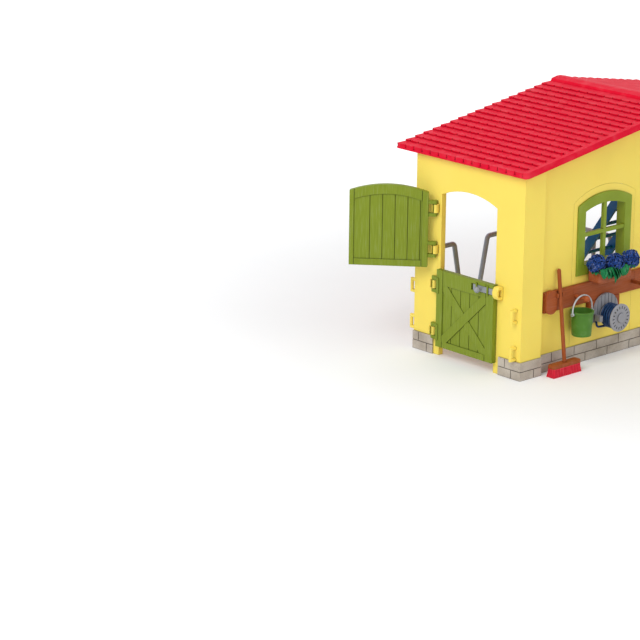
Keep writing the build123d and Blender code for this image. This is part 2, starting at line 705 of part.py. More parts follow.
# Hose reel: fixed plate with its axle, and a drum that turns on it
with BuildSketch() as plate_face:
    with BuildLine():
        Line((-PLATE_R, 0), (-PLATE_R - PLATE_FLARE, PLATE_FOOT - PLATE_Z))
        Line((-PLATE_R - PLATE_FLARE, PLATE_FOOT - PLATE_Z), (PLATE_R + PLATE_FLARE, PLATE_FOOT - PLATE_Z))
        Line((PLATE_R + PLATE_FLARE, PLATE_FOOT - PLATE_Z), (PLATE_R, 0))
        ThreePointArc((PLATE_R, 0), (0, PLATE_R), (-PLATE_R, 0))
    make_face()
with BuildPart() as reel_plate:
    with BuildSketch(front_plane(PLATE_BACK)):
        with Locations((BAY_X, PLATE_Z)):
            add(plate_face.sketch)
    extrude(amount=PLATE_T)
    with BuildSketch(front_plane(PLATE_FACE + BOARD_CUT)):
        with Locations((BAY_X, PLATE_Z)):
            with GridLocations(BOARD, 1, 8, 1):
                Rectangle(BOARD_CUT, 4 * PLATE_R)
    extrude(amount=BOARD_CUT, mode=Mode.SUBTRACT)
    add(rod((BAY_X, PLATE_FACE + BOARD_CUT, REEL_Z), (BAY_X, DISC_FACE - DRUM_GAP, REEL_Z), AXLE_R))
keep(reel_plate, "reel_plate")

with BuildPart() as reel_cap:
    with BuildSketch(front_plane(DISC_FACE - DRUM_GAP)):
        with Locations((BAY_X, REEL_Z)):
            Circle(CAP_R)
    extrude(amount=CAP_T)
    fillet(reel_cap.edges().group_by(Axis.Y)[0], CAP_T * 0.5)
keep(reel_cap, "reel_cap")

with BuildPart() as reel_drum:
    with BuildSketch(front_plane(DRUM_BACK)):
        with Locations((BAY_X, REEL_Z)):
            Circle(DRUM_R)
            Circle(AXLE_R + AXLE_PLAY, mode=Mode.SUBTRACT)
    extrude(amount=DRUM_LONG)
keep(reel_drum, "reel_drum")

with BuildPart() as reel_disc:
    with BuildSketch(front_plane(DRUM_FRONT)):
        with Locations((BAY_X, REEL_Z)):
            Circle(DISC_R)
            Circle(AXLE_R + AXLE_PLAY, mode=Mode.SUBTRACT)
    extrude(amount=DISC_T)
    chamfer(reel_disc.edges().filter_by(GeomType.CIRCLE).group_by(SortBy.RADIUS)[-1], DISC_T * 0.2)
    with BuildSketch(front_plane(DISC_FACE + SLOT_DEEP)):
        with Locations((BAY_X, REEL_Z)):
            with PolarLocations(DISC_R * 0.74, SLOTS):
                Rectangle(DISC_R * 0.2, SLOT_W)
    extrude(amount=SLOT_DEEP, mode=Mode.SUBTRACT)
keep(reel_disc, "reel_disc")


# Garden hose: one tube wound on the drum from the disc to the plate, its free end turned up into a fitting
WIND_R = DRUM_R + HOSE_R + HOSE_PLAY
WIND_START = DRUM_FRONT + HOSE_R + HOSE_PLAY


def hose_point(turn):
    """Point of the winding and its way there, counted in turns from the disc."""
    angle = 2 * pi * turn
    point = Vector(BAY_X + WIND_R * sin(angle), WIND_START + HOSE_PITCH * turn, REEL_Z + WIND_R * cos(angle))
    way = Vector(WIND_R * cos(angle), HOSE_PITCH / (2 * pi), -WIND_R * sin(angle))
    return point, way.normalized()


def knee(start, start_way, end, end_way):
    """Point and way where two arcs meet that join start to end smoothly."""
    span = end - start
    both = start_way + end_way
    turn = 2 * (1 - start_way.dot(end_way))
    reach = (sqrt(span.dot(both) ** 2 + turn * span.dot(span)) - span.dot(both)) / turn
    near = start + start_way * reach
    far = end - end_way * reach
    return (near + far) * 0.5, (far - near).normalized()


RISE = Vector(0, 0, 1)
stops = [hose_point(quarter / 4) for quarter in range(int(4 * HOSE_TURNS) + 1)]
hose_start, start_way = stops[0]
hose_end, end_way = stops[-1]
lead_in = hose_start - start_way * HOSE_R * 2
tail_run = hose_end + end_way * TAIL_RUN
fitting_foot = Vector(BAY_X - FITTING_OFF, hose_end.Y, REEL_Z - FITTING_DROP - FITTING_H / 2)
tail_up = fitting_foot - RISE * HOSE_R * 2
with BuildPart() as garden_hose:
    with BuildLine() as route:
        Line(lead_in, hose_start)
        for (a, a_way), (b, b_way) in zip(stops, stops[1:]):
            middle, middle_way = knee(a, a_way, b, b_way)
            TangentArc(a, middle, tangent=a_way)
            TangentArc(middle, b, tangent=middle_way)
        Line(hose_end, tail_run)
        middle, middle_way = knee(tail_run, end_way, tail_up, RISE)
        TangentArc(tail_run, middle, tangent=end_way)
        TangentArc(middle, tail_up, tangent=middle_way)
        Line(tail_up, fitting_foot)
    with BuildSketch(Plane(origin=lead_in, z_dir=start_way)):
        Circle(HOSE_R)
    sweep(path=route.line)
keep(garden_hose, "garden_hose")

hose_line = route.wire()
samples = [hose_line @ (n / 1200) for n in range(1201)]
spacing = hose_line.length / 1200
apart = int(HOSE_R * 6 / spacing)
least = min((samples[i] - samples[j]).length for i in range(0, 1201, 2) for j in range(i + apart, 1201, 2))
print(f"least gap of the hose to itself {least - 2 * HOSE_R:.2f} mm, length {hose_line.length:.0f} mm")

with BuildPart() as hose_fitting:
    with BuildSketch(Plane.XY.offset(fitting_foot.Z)):
        with Locations((fitting_foot.X, fitting_foot.Y + HOSE_R - FITTING_LONG / 2)):
            RectangleRounded(FITTING_W, FITTING_LONG, FITTING_W * 0.3)
    extrude(amount=FITTING_H)
keep(hose_fitting, "hose_fitting")

# Flower box on top of the rail
BOX_FOOT = RAIL_TOP
BOX_TOP = BOX_FOOT + BOX_H
BOX_BACK = WINDOW_FACE - PANEL_PLAY
BOX_Y = BOX_BACK - BOX_D / 2
with BuildPart() as flower_box:
    with BuildSketch(Plane.XY.offset(BOX_FOOT)):
        with Locations((BAY_X, BOX_Y)):
            RectangleRounded(BOX_W, BOX_D, BOX_ROUND)
    extrude(amount=BOX_H)
    ends = flower_box.edges().group_by(Axis.Z)[0].filter_by(Axis.Y)
    fillet(ends, BOX_BELLY)
    with BuildSketch(Plane.XY.offset(BOX_FOOT + BOX_WALL)):
        with Locations((BAY_X, BOX_Y)):
            RectangleRounded(BOX_W - 2 * BOX_WALL, BOX_D - 2 * BOX_WALL, BOX_ROUND - BOX_WALL)
    extrude(amount=BOX_H, mode=Mode.SUBTRACT)
keep(flower_box, "flower_box")

# Leaves on a plug that fills the box: stalks over its rim and blades hanging in front of it
PLUG_TOP = BOX_TOP - BOX_WALL / 4
BOX_FACE = BOX_Y - BOX_D / 2
STALK_Z = BOX_TOP + SOIL_PLAY
PAD_LIMIT = BOX_W / 2 - BOX_WALL - SOIL_PLAY - STEM_R


def bloom_core(place, radius):
    """Upright round-ended core of a flower head."""
    with BuildPart() as core:
        for end in (-BLOOM_LONG, BLOOM_LONG):
            with Locations(place + Vector(0, 0, end)):
                Sphere(radius)
        add(rod(place - Vector(0, 0, BLOOM_LONG), place + Vector(0, 0, BLOOM_LONG), radius))
    return core.part


with BuildPart() as flower_leaves:
    for stalk, tip, tip_z, half in LEAVES:
        left = BAY_X + stalk - STALK_W / 2
        add(slab(left, left + STALK_W, BOX_FACE - SOIL_PLAY - LEAF_THIN, BOX_Y, STALK_Z, STALK_Z + LEAF_THIN))
        add(slab(left, left + STALK_W, BOX_Y - BOX_WALL, BOX_Y, PLUG_TOP, STALK_Z))
        with BuildSketch(front_plane(BOX_FACE - SOIL_PLAY)):
            with BuildLine():
                top = STALK_Z + LEAF_THIN
                broad = (STALK_Z + tip_z) / 2
                middle = BAY_X + (stalk + tip) / 2
                Line((left + STALK_W, top), (left, top))
                ThreePointArc((left, top), (middle - half, broad), (BAY_X + tip, tip_z))
                ThreePointArc((BAY_X + tip, tip_z), (middle + half, broad), (left + STALK_W, top))
            make_face()
        extrude(amount=LEAF_THIN)
    for off, y, z in BLOOMS:
        add(bloom_core(Vector(BAY_X + off, y, z), BLOOM_R + FLORET_R + BLOOM_GAP), mode=Mode.SUBTRACT)
    with BuildSketch(Plane.XY.offset(BOX_FOOT + BOX_WALL)):
        with Locations((BAY_X, BOX_Y)):
            RectangleRounded(
                BOX_W - 2 * (BOX_WALL + SOIL_PLAY),
                BOX_D - 2 * (BOX_WALL + SOIL_PLAY),
                BOX_ROUND - BOX_WALL - SOIL_PLAY,
            )
    extrude(amount=PLUG_TOP - BOX_FOOT - BOX_WALL)
    with BuildSketch(Plane.XY.offset(PLUG_TOP)):
        for off, y, z in BLOOMS:
            with Locations((BAY_X + max(-PAD_LIMIT, min(PAD_LIMIT, off)), BOX_Y)):
                Circle(STEM_R)
    extrude(amount=BOX_TOP + BLOOM_GAP - PLUG_TOP)
keep(flower_leaves, "flower_leaves")

# Heads of blossom, resting on the box and hanging over its edge
for n, (off, y, z) in enumerate(BLOOMS):
    centre = Vector(BAY_X + off, y, z)
    golden = pi * (3 - sqrt(5))
    with BuildPart() as bloom:
        add(bloom_core(centre, BLOOM_R))
        spots = []
        for k in range(FLORETS):
            up = 1 - 2 * (k + 0.5) / FLORETS
            ring = sqrt(1 - up * up) * BLOOM_R
            high = up * BLOOM_R + BLOOM_LONG * (1 if up > 0 else -1)
            spots.append(centre + Vector(ring * cos(golden * k), ring * sin(golden * k), high))
        with Locations(*spots):
            Sphere(FLORET_R)
        add(slab(BAY_X - BOX_W / 2 - BLOOM_GAP, BAY_X + BOX_W / 2 + BLOOM_GAP, BOX_FACE - BLOOM_GAP, RECESS,
                 BOX_FOOT, BOX_TOP + BLOOM_GAP), mode=Mode.SUBTRACT)
        for loose in bloom.solids().sort_by(SortBy.VOLUME)[:-1]:
            add(loose, mode=Mode.SUBTRACT)
    keep(bloom, f"flower_head_{n + 1}")

# Bucket with two ears, and the bail that hangs on a peg
with BuildPart() as bucket_shell:
    with BuildSketch(front_plane(BUCKET_Y)):
        with BuildLine():
            Polyline(
                (PEG_X, BUCKET_RIM - BUCKET_H),
                (PEG_X + BUCKET_FOOT_R, BUCKET_RIM - BUCKET_H),
                (PEG_X + BUCKET_RIM_R - BUCKET_WALL / 2, BUCKET_RIM - BUCKET_WALL * 2),
                (PEG_X + BUCKET_RIM_R, BUCKET_RIM - BUCKET_WALL * 2),
                (PEG_X + BUCKET_RIM_R, BUCKET_RIM),
                (PEG_X + BUCKET_RIM_R - BUCKET_WALL * 1.5, BUCKET_RIM),
                (PEG_X + BUCKET_FOOT_R - BUCKET_WALL, BUCKET_RIM - BUCKET_H + BUCKET_WALL),
                (PEG_X, BUCKET_RIM - BUCKET_H + BUCKET_WALL),
                close=True,
            )
        make_face()
    revolve(axis=Axis((PEG_X, BUCKET_Y, 0), (0, 0, 1)))
    for side in (-1, 1):
        add(rod(
            (PEG_X + side * (BUCKET_RIM_R - BUCKET_WALL), BUCKET_Y, EAR_Z),
            (PEG_X + side * (BUCKET_RIM_R + EAR_T), BUCKET_Y, EAR_Z),
            EAR_R,
        ))
        add(rod(
            (PEG_X + side * (BUCKET_RIM_R + EAR_T), BUCKET_Y, EAR_Z),
            (PEG_X + side * (BUCKET_RIM_R + EAR_T + BAIL_OUT + 2 * BAIL_R), BUCKET_Y, EAR_Z),
            BAIL_R,
        ))
keep(bucket_shell, "bucket_shell")

LEG_X = BUCKET_RIM_R + EAR_T + BAIL_OUT + BAIL_R
LEG_TOP = EAR_Z + BAIL_RISE - LEG_X
EYE_R = 2 * BAIL_R + BAIL_PLAY
with BuildPart() as bucket_bail:
    with BuildLine(front_plane(BUCKET_Y)) as wire:
        Line((PEG_X - LEG_X, EAR_Z + BAIL_R), (PEG_X - LEG_X, LEG_TOP))
        ThreePointArc(
            (PEG_X - LEG_X, LEG_TOP),
            (PEG_X, LEG_TOP + LEG_X),
            (PEG_X + LEG_X, LEG_TOP),
        )
        Line((PEG_X + LEG_X, LEG_TOP), (PEG_X + LEG_X, EAR_Z + BAIL_R))
    with BuildSketch(Plane(origin=(PEG_X - LEG_X, BUCKET_Y, EAR_Z + BAIL_R), z_dir=(0, 0, 1))):
        Circle(BAIL_R)
    sweep(path=wire.line)
    for side in (-1, 1):
        eye_in = (PEG_X + side * (LEG_X - BAIL_R * 1.2), BUCKET_Y, EAR_Z)
        eye_out = (PEG_X + side * (LEG_X + BAIL_R * 1.2), BUCKET_Y, EAR_Z)
        add(rod(eye_in, eye_out, EYE_R))
        add(rod(eye_in, eye_out, BAIL_R + BAIL_PLAY), mode=Mode.SUBTRACT)
keep(bucket_bail, "bucket_bail")

# Broom
with BuildPart() as broom_handle:
    foot = Vector(BROOM_X, HANDLE_FOOT_Y, HEAD_TOP)
    top = Vector(HANDLE_TOP_X, HANDLE_TOP_Y, HANDLE_TOP_Z)
    add(rod(foot, top, HANDLE_R))
    with Locations(top):
        Sphere(HANDLE_R)
    add(slab(BROOM_X - 4, BROOM_X + 4, HANDLE_FOOT_Y - 4, HANDLE_FOOT_Y + 4, HEAD_TOP - 4, HEAD_TOP),
        mode=Mode.SUBTRACT)
keep(broom_handle, "broom_handle")

with BuildPart() as broom_head:
    with BuildSketch(Plane.XY.offset(HEAD_FOOT)):
        with Locations((BROOM_X, HANDLE_FOOT_Y)):
            RectangleRounded(HEAD_W, HEAD_D, HEAD_D * 0.3)
    extrude(amount=HEAD_TOP - HEAD_FOOT)
    chamfer(broom_head.faces().sort_by(Axis.Z)[-1].edges(), (HEAD_TOP - HEAD_FOOT) * 0.25)
keep(broom_head, "broom_head")

STRAND_X = (HEAD_W - 2 * BACKING) / BRISTLE_COLUMNS
STRAND_Y = (HEAD_D - BACKING) / BRISTLE_ROWS
ROOT = Vector(BROOM_X, HANDLE_FOOT_Y, HEAD_FOOT - BACKING)
strands = []
for column in range(BRISTLE_COLUMNS):
    for row in range(BRISTLE_ROWS):
        along = (column - (BRISTLE_COLUMNS - 1) / 2) * STRAND_X
        across = (row - (BRISTLE_ROWS - 1) / 2) * STRAND_Y
        place = Plane(origin=ROOT + Vector(along, across, 0))
        strand = make_face(Rectangle(STRAND_X * BRISTLE_SHARE, STRAND_Y * BRISTLE_SHARE).edges())
        way = Vector(along * SPLAY_X, across * SPLAY_Y, -ROOT.Z)
        strands.append(extrude(place * strand, amount=way.length, dir=way))
with BuildPart() as broom_bristles:
    with BuildSketch(Plane.XY.offset(ROOT.Z)):
        with Locations((BROOM_X, HANDLE_FOOT_Y)):
            Rectangle(HEAD_W - 2 * BACKING, HEAD_D - BACKING)
    extrude(amount=BACKING)
    add(strands)
keep(broom_bristles, "broom_bristles")

# Feed fence across the open back: one bent tube with two head gaps, on a sill
FIRST_POST = SIDE_T + FENCE_POST + SILL_W / 2
fence_run = [(FIRST_POST, 0), (FIRST_POST, FENCE_TOP)]
for neck in NECK_AT:
    fence_run.append((neck - NECK_TOP / 2, FENCE_TOP))
    fence_run.append((neck - NECK_FOOT / 2, SILL_H + TUBE_R * 0.6))
    fence_run.append((neck + NECK_FOOT / 2, SILL_H + TUBE_R * 0.6))
    fence_run.append((neck + NECK_TOP / 2, FENCE_TOP))
fence_run.append((FENCE_END, FENCE_TOP))
fence_run.append((FENCE_END, 0))
with BuildPart() as feed_fence:
    add(tube(front_plane(FENCE_Y), TUBE_R, NECK_FOOT * 0.45, *fence_run))
    add(slab(SIDE_T + FENCE_POST, FENCE_END + SILL_W / 2, FENCE_Y - SILL_W / 2, FENCE_Y + SILL_W / 2,
             0, SILL_H))
keep(feed_fence, "feed_fence")

# Stall divider
with BuildPart() as stall_divider:
    near = DIVIDER_NEAR
    far = FENCE_Y - TUBE_R - DIVIDER_GAP
    add(tube(side_plane(DIVIDER_X), DIVIDER_R, TUBE_BEND, (near, 0), (near, DIVIDER_TOP), (far, DIVIDER_TOP)))
    add(rod((DIVIDER_X, DIVIDER_MID, 0), (DIVIDER_X, DIVIDER_MID, DIVIDER_TOP), DIVIDER_R))
    add(slab(DIVIDER_X - SILL_W / 2, DIVIDER_X + SILL_W / 2, near - SILL_W / 2, DIVIDER_MID + SILL_W / 2,
             0, SILL_H))
keep(stall_divider, "stall_divider")

# Ladder to the window, leaning on the inside of the front wall
LEAN_Y = WALL_BACK + LADDER_LEAN
RUN = Vector(0, LEAN_Y - LADDER_FOOT, LADDER_TOP).normalized()
CUT = STILE_D / 2 / RUN.Z
with BuildPart() as ladder:
    front_foot = LADDER_FOOT - CUT
    back_foot = LADDER_FOOT + CUT
    front_top = (front_foot - LEAN_Y) / -RUN.Y * RUN.Z
    for x in (LADDER_X - STILE_T / 2, LADDER_X + LADDER_W - STILE_T / 2):
        with BuildSketch(side_plane(x)):
            add(outline(
                (front_foot, 0),
                (LEAN_Y, front_top),
                (LEAN_Y, LADDER_TOP),
                (back_foot + RUN.Y / RUN.Z * LADDER_TOP, LADDER_TOP),
                (back_foot, 0),
            ))
        extrude(amount=STILE_T)
    steps = int(LADDER_TOP / RUN.Z / RUNG_STEP)
    for step in range(1, steps):
        at = Vector(LADDER_X, LADDER_FOOT, 0) + RUN * RUNG_STEP * step
        add(rod(at, at + Vector(LADDER_W, 0, 0), RUNG_R))
keep(ladder, "ladder")


# Stable door leaves, drawn closed
LEAF_MIDDLE = (LEAF_FREE_SIDE + LEAF_HINGE_SIDE) / 2
UPPER_FOOT = LOWER_TOP + UPPER_GAP
SLOT_H = BOLT_H + 2 * BOLT_PLAY


def leaf_field(face, stiles):
    """Cuts that sink a leaf's planked field on both faces, mark the planks and part the stiles."""
    with BuildPart() as cuts:
        for x in (LEAF_FACE, LEAF_BACK - PLANK_SINK):
            with BuildSketch(side_plane(x)):
                add(face)
            extrude(amount=PLANK_SINK)
        for x in (LEAF_FACE, LEAF_BACK - PLANK_SINK - GROOVE_DEEP):
            with BuildSketch(side_plane(x)):
                with Locations((LEAF_MIDDLE + PLANK / 2, LOWER_TOP)):
                    with GridLocations(PLANK, 1, 5, 1):
                        Rectangle(GROOVE_W, 4 * LOWER_TOP)
                add(face, mode=Mode.INTERSECT)
            extrude(amount=PLANK_SINK + GROOVE_DEEP)
        for x in (LEAF_FACE, LEAF_BACK - GROOVE_DEEP):
            with BuildSketch(side_plane(x)):
                with Locations(*[(y, LOWER_TOP) for y in stiles]):
                    Rectangle(GROOVE_W, 4 * LOWER_TOP)
            extrude(amount=GROOVE_DEEP)
    return cuts.part


def leaf_loops(heights):
    """Hinge bars between two prongs, with a pad on the leaf."""
    with BuildPart() as loops:
        for z in heights:
            with BuildSketch(Plane.XY.offset(z - LOOP_H / 2)):
                with Locations((HINGE_X, HINGE_Y)):
                    Circle(BAR_R)
            extrude(amount=LOOP_H)
            for foot in (z - LOOP_H / 2, z + LOOP_H / 2 - PRONG_H):
                with BuildSketch(Plane.XY.offset(foot)):
                    with Locations((HINGE_X, HINGE_Y)):
                        Circle(PRONG_R)
                    with Locations((HINGE_X, HINGE_Y - LEAF_EDGE / 2 - PRONG_R / 2)):
                        Rectangle(2 * PRONG_R, LEAF_EDGE + PRONG_R)
                extrude(amount=PRONG_H)
            add(slab(LEAF_FACE - HINGE_PAD_T, HINGE_X, LEAF_HINGE_SIDE - HINGE_PAD_W, LEAF_HINGE_SIDE,
                     z - LOOP_H / 2, z + LOOP_H / 2))
    return loops.part


field_w = LEAF_W - STILE_BOLT - STILE_HUNG
field_h = LOWER_TOP - RAIL_LOCK - LOWER_FOOT - RAIL_LOW
field_y = LEAF_FREE_SIDE + STILE_BOLT + field_w / 2
field_z = LOWER_FOOT + RAIL_LOW + field_h / 2
with BuildSketch() as lower_field:
    with Locations((field_y, field_z)):
        Rectangle(field_w, field_h)
with BuildPart() as lower_leaf:
    add(slab(LEAF_FACE, LEAF_BACK, LEAF_FREE_SIDE, LEAF_HINGE_SIDE, LOWER_FOOT, LOWER_TOP))
    add(leaf_field(lower_field.sketch, (field_y - field_w / 2, field_y + field_w / 2)), mode=Mode.SUBTRACT)
    tilt = degrees(atan2(field_h, field_w))
    for lean, back in ((-tilt, 0), (tilt, GROOVE_DEEP / 2)):
        with BuildSketch(side_plane(LEAF_FACE + back)):
            with Locations((field_y, field_z)):
                Rectangle(2 * field_w, BRACE_W, rotation=lean)
            add(lower_field.sketch, mode=Mode.INTERSECT)
        extrude(amount=PLANK_SINK + GROOVE_DEEP - back)
    add(slab(LEAF_FACE, LEAF_FACE + BOLT_T + BOLT_PLAY, LEAF_FREE_SIDE,
             LEAF_FREE_SIDE + BOLT_SHY + BOLT_REACH + BOLT_BACK + BOLT_PLAY,
             BOLT_Z - SLOT_H / 2, BOLT_Z + SLOT_H / 2), mode=Mode.SUBTRACT)
    for strap in (STRAP_NEAR, STRAP_FAR):
        near = LEAF_FREE_SIDE + strap
        add(slab(LEAF_FACE - BOLT_PLAY - STRAP_T, LEAF_FACE, near, near + STRAP_W,
                 BOLT_Z - SLOT_H / 2 - STRAP_W, BOLT_Z + SLOT_H / 2 + STRAP_W))
        add(slab(LEAF_FACE - BOLT_PLAY, LEAF_FACE, near, near + STRAP_W,
                 BOLT_Z - SLOT_H / 2, BOLT_Z + SLOT_H / 2), mode=Mode.SUBTRACT)
    add(leaf_loops(LOWER_LOOPS))
keep_pair(lower_leaf, "lower_leaf")

with BuildPart() as door_bolt:
    bolt_near = LEAF_FREE_SIDE + BOLT_SHY
    knob_y = LEAF_FREE_SIDE + KNOB_AT
    add(slab(LEAF_FACE, LEAF_FACE + BOLT_T, bolt_near, bolt_near + BOLT_REACH,
             BOLT_Z - BOLT_H / 2, BOLT_Z + BOLT_H / 2))
    with BuildSketch(Plane.XY.offset(BOLT_Z)):
        with BuildLine():
            knob_x = LEAF_FACE - KNOB_OUT
            root_x = LEAF_FACE + BOLT_T / 2
            neck_x = knob_x + sqrt(KNOB_R ** 2 - KNOB_NECK ** 2)
            round_y = knob_y + KNOB_R
            neck_y = knob_y + KNOB_NECK
            Polyline((knob_x - KNOB_R, knob_y), (root_x, knob_y), (root_x, neck_y), (neck_x, neck_y))
            ThreePointArc((neck_x, neck_y), (knob_x, round_y), (knob_x - KNOB_R, knob_y))
        make_face()
    revolve(axis=Axis((0, knob_y, BOLT_Z), (1, 0, 0)))
keep_pair(door_bolt, "door_bolt")

arch_w = LEAF_W - STILE_FREE - STILE_HINGE
arch_y = LEAF_FREE_SIDE + STILE_FREE + arch_w / 2
with BuildPart() as upper_leaf:
    with BuildSketch(side_plane(LEAF_FACE)):
        add(arch(LEAF_MIDDLE, LEAF_W, UPPER_FOOT, UPPER_SPRING, UPPER_RISE))
    extrude(amount=LEAF_T)
    upper_field = arch(arch_y, arch_w, UPPER_FOOT + RAIL_LOW, UPPER_SPRING - RAIL_ARCH, FIELD_RISE)
    add(leaf_field(upper_field, (arch_y - arch_w / 2, arch_y + arch_w / 2)), mode=Mode.SUBTRACT)
    add(leaf_loops(UPPER_LOOPS))
with BuildPart() as upper_leaf_open:
    add(upper_leaf.part.rotate(HINGE, -UPPER_OPEN))
keep(upper_leaf_open, "upper_leaf_left")
with BuildPart() as upper_leaf_shut:
    mirror(upper_leaf.part, about=MIDDLE)
keep(upper_leaf_shut, "upper_leaf_right")
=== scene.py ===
import bpy
import json
import math
import random
from mathutils import Matrix, Vector


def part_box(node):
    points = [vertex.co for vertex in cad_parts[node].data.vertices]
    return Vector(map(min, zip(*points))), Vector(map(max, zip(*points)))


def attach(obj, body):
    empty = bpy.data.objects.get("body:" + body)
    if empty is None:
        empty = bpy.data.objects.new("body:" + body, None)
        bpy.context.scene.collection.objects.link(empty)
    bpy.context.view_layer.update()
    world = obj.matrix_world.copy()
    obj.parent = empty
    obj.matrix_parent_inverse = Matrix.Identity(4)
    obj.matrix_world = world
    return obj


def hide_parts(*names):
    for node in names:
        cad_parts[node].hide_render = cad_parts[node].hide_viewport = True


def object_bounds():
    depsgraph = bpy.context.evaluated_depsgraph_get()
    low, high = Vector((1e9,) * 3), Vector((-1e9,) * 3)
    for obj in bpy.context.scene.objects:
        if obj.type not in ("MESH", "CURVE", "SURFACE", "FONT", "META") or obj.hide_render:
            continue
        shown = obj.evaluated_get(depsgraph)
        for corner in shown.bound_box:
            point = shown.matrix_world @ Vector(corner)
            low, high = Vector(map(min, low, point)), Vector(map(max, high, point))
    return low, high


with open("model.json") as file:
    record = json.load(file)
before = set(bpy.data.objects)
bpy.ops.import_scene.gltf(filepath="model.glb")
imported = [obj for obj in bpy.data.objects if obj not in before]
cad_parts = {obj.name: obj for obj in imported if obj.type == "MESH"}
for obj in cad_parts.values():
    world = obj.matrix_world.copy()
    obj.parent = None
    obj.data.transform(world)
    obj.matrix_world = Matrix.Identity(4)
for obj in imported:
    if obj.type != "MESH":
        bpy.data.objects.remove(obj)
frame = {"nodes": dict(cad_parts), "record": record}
cad_low, cad_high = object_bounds()
nodes = frame["nodes"]

MM = 1000
WHITE = (1, 1, 1, 1)
BLACK = (0, 0, 0, 1)


# Colours and material graphs


def linear(red, green, blue):
    """Screen colour, 0 to 255, as linear light."""
    light = []
    for value in (red, green, blue):
        share = value / 255
        light.append(share / 12.92 if share <= 0.04045 else ((share + 0.055) / 1.055) ** 2.4)
    return (*light, 1.0)


def mixed(first, second, share):
    """Colour between two others."""
    return tuple(a + (b - a) * share for a, b in zip(first, second))


class Graph:
    """A material's node tree with short names for adding and linking nodes."""

    BEVEL_SAMPLES = 6
    # Ambient occlusion samples and ramp for the painted shade in grooves and inner corners
    CREASE_SAMPLES = 8
    CREASE_FROM = 0.45
    CREASE_TO = 0.85

    def __init__(self, name):
        self.material = bpy.data.materials.new(name)
        self.material.use_nodes = True
        self.tree = self.material.node_tree
        self.shader = self.tree.nodes["Principled BSDF"]

    def node(self, kind, **values):
        made = self.tree.nodes.new(kind)
        for key, value in values.items():
            setattr(made, key, value)
        return made

    def link(self, source, target):
        self.tree.links.new(source, target)

    def set(self, socket, value):
        """Value of one of the shader's own sockets."""
        self.shader.inputs[socket].default_value = value

    def coordinates(self, scale=(1, 1, 1)):
        """Object coordinates, in millimetres, scaled."""
        place = self.node("ShaderNodeTexCoord")
        stretch = self.node("ShaderNodeMapping")
        stretch.inputs["Scale"].default_value = tuple(MM * share for share in scale)
        self.link(place.outputs["Object"], stretch.inputs["Vector"])
        return stretch.outputs["Vector"]

    def noise(self, vector, scale, detail=3.0, rough=0.5):
        made = self.node("ShaderNodeTexNoise")
        made.inputs["Scale"].default_value = scale
        made.inputs["Detail"].default_value = detail
        made.inputs["Roughness"].default_value = rough
        self.link(vector, made.inputs["Vector"])
        return made.outputs["Fac"]

    def ramp(self, factor, stops):
        """Colour picked by a factor from stops of place and colour."""
        made = self.node("ShaderNodeValToRGB")
        elements = made.color_ramp.elements
        while len(elements) < len(stops):
            elements.new(0.5)
        for element, (position, colour) in zip(elements, stops):
            element.position = position
            element.color = colour
        self.link(factor, made.inputs["Fac"])
        return made.outputs["Color"]

    def multiplied(self, first, second, factor):
        """Two colours multiplied, by a share."""
        mix = self.node("ShaderNodeMix", data_type="RGBA", blend_type="MULTIPLY")
        mix.inputs["Factor"].default_value = factor
        self.link(first, mix.inputs["A"])
        self.link(second, mix.inputs["B"])
        return mix.outputs["Result"]

    def weighted(self, value, weight, added=None):
        """Value times a weight, with another value added where one is given."""
        kind = "MULTIPLY" if added is None else "MULTIPLY_ADD"
        made = self.node("ShaderNodeMath", operation=kind)
        self.link(value, made.inputs[0])
        made.inputs[1].default_value = weight
        if added is not None:
            self.link(added, made.inputs[2])
        return made.outputs["Value"]

    def bump(self, height, strength, distance, edge):
        """Bump over rounded edges, into the shader."""
        soft = self.node("ShaderNodeBevel", samples=self.BEVEL_SAMPLES)
        soft.inputs["Radius"].default_value = edge
        made = self.node("ShaderNodeBump")
        made.inputs["Strength"].default_value = strength
        made.inputs["Distance"].default_value = distance
        self.link(soft.outputs["Normal"], made.inputs["Normal"])
        self.link(height, made.inputs["Height"])
        self.link(made.outputs["Normal"], self.shader.inputs["Normal"])

    def painted_groove_shade(self, colour, reach, deep):
        """Painted shade: colour darkened by ambient occlusion inside grooves and inner corners, into the
        shader.
        """
        hollow = self.node("ShaderNodeAmbientOcclusion", samples=self.CREASE_SAMPLES)
        hollow.inputs["Distance"].default_value = reach
        stops = ((self.CREASE_FROM, (deep, deep, deep, 1)), (self.CREASE_TO, WHITE))
        shade = self.ramp(hollow.outputs["AO"], stops)
        self.link(self.multiplied(colour, shade, factor=1), self.shader.inputs["Base Color"])

    def roughness(self, factor, low, high):
        """Roughness between two values, into the shader."""
        made = self.node("ShaderNodeMapRange")
        made.inputs["To Min"].default_value = low
        made.inputs["To Max"].default_value = high
        self.link(factor, made.inputs["Value"])
        self.link(made.outputs["Result"], self.shader.inputs["Roughness"])


# Kinds of material


def moulded(name, colour, shade, rough, grain, patch, edge=0.0003, stretch=(1, 1, 1),
            soft=0.0, shine=0.25, crease_shade=0.6, reach=0.0012):
    """Moulded plastic: faint patches of tone, fine grain, rounded edges and painted shade in grooves and
    inner corners.
    """
    graph = Graph(name)
    place = graph.coordinates(stretch)
    patches = graph.noise(place, scale=patch, detail=2.0)
    fine = graph.noise(place, scale=2.2, detail=4.0, rough=0.6)
    dark = mixed(colour, BLACK, shade)
    light = mixed(colour, WHITE, shade * 0.35)
    tone = graph.ramp(patches, ((0.30, dark), (0.52, colour), (0.75, light)))
    # Painted shade: the tone is darkened in grooves and inner corners
    graph.painted_groove_shade(tone, reach, crease_shade)
    graph.roughness(fine, low=rough - 0.06, high=rough + 0.08)
    graph.bump(fine, strength=grain, distance=0.00005, edge=edge)
    graph.set("Subsurface Weight", soft)
    graph.set("Subsurface Scale", 0.002)
    graph.set("Specular IOR Level", shine)
    return graph.material


